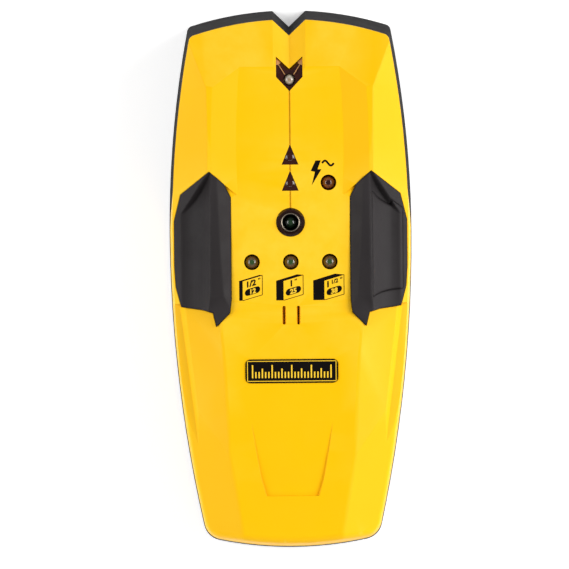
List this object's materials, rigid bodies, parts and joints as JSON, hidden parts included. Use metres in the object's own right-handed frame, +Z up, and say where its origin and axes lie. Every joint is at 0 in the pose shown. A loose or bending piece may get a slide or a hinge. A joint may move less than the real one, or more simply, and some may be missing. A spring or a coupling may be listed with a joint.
{
  "type": "stud finder",
  "caption": "hand-held electronic stud finder with a notched marking end, lamps, side grips with a press button, and a battery door in the back",
  "frame": {"origin": "bottom centre of the box: the middle of the flat sensing back", "axes": "+Z up out of the lamp face, +Y to the notched marking end, +X to the side with the press button"},
  "size_m": [0.0744, 0.1648, 0.033],
  "materials": {
    "yellow_shell": "fine satin moulded shell",
    "black_shell": "satin moulded shell",
    "grip": "matte moulded grip",
    "button": "matte moulded button",
    "smoked_lens": "smoked lens",
    "clear_lamp": "clear epoxy lamp",
    "green_lamp": "tinted epoxy lamp",
    "red_lamp": "tinted epoxy lamp",
    "bezel": "polished ring",
    "badge": "printed plate",
    "circuit_board": "solder mask over glass laminate",
    "copper": "etched copper",
    "component": "moulded component",
    "screw": "zinc-plated",
    "battery_case": "printed metal jacket",
    "nickel": "nickel-plated",
    "foam": "open-cell foam",
    "red_wire": "insulation",
    "black_wire": "insulation"
  },
  "bodies": {
    "root": {"top_housing": "yellow_shell", "base_housing": "black_shell", "left_grip": "grip", "right_grip": "grip", "name_badge": "badge", "sounder": "component", "lamp_board": "circuit_board", "sensor_board": "circuit_board", "sensor_plates": "copper", "board_link": "component", "board_parts": "component", "controller_chip": "component", "depth_lamp_left": "green_lamp", "depth_lamp_middle": "green_lamp", "depth_lamp_right": "green_lamp", "ready_lamp": "green_lamp", "live_wire_lamp": "red_lamp", "ready_bezel": "bezel", "arrow_window_front": "smoked_lens", "arrow_lamp_front": "red_lamp", "arrow_window_rear": "smoked_lens", "arrow_lamp_rear": "red_lamp", "marking_window": "smoked_lens", "marking_lamp": "clear_lamp", "switch_body": "component", "battery_block": "battery_case", "battery_studs": "nickel", "clip_contacts": "nickel", "battery_clip": "component", "case_screws": "screw", "board_screws": "screw", "battery_lead_red": "red_wire", "battery_lead_black": "black_wire"},
    "side_button": {"side_button": "button"},
    "switch_plunger": {"switch_plunger": "component"},
    "battery_door": {"battery_door": "black_shell", "battery_foam": "foam"}
  },
  "joints": [
    {"name": "button_press", "type": "slide", "parent": "root", "child": "side_button", "axis": [-1, 0, 0], "range_m": [0, 0.0008], "stiffness_N_per_m": 60, "springref_m": -0.003},
    {"name": "plunger_slide", "type": "slide", "parent": "root", "child": "switch_plunger", "axis": [-1, 0, 0], "range_m": [0, 0.0005]},
    {"name": "door_hinge", "type": "hinge", "parent": "root", "child": "battery_door", "pos_m": [0, -0.0176, 0.0012], "axis": [1, 0, 0], "range_deg": [0, 90]}
  ],
  "couplings": [
    {"joint": "plunger_slide", "follows": "button_press", "ratio": 0.625}
  ]
}
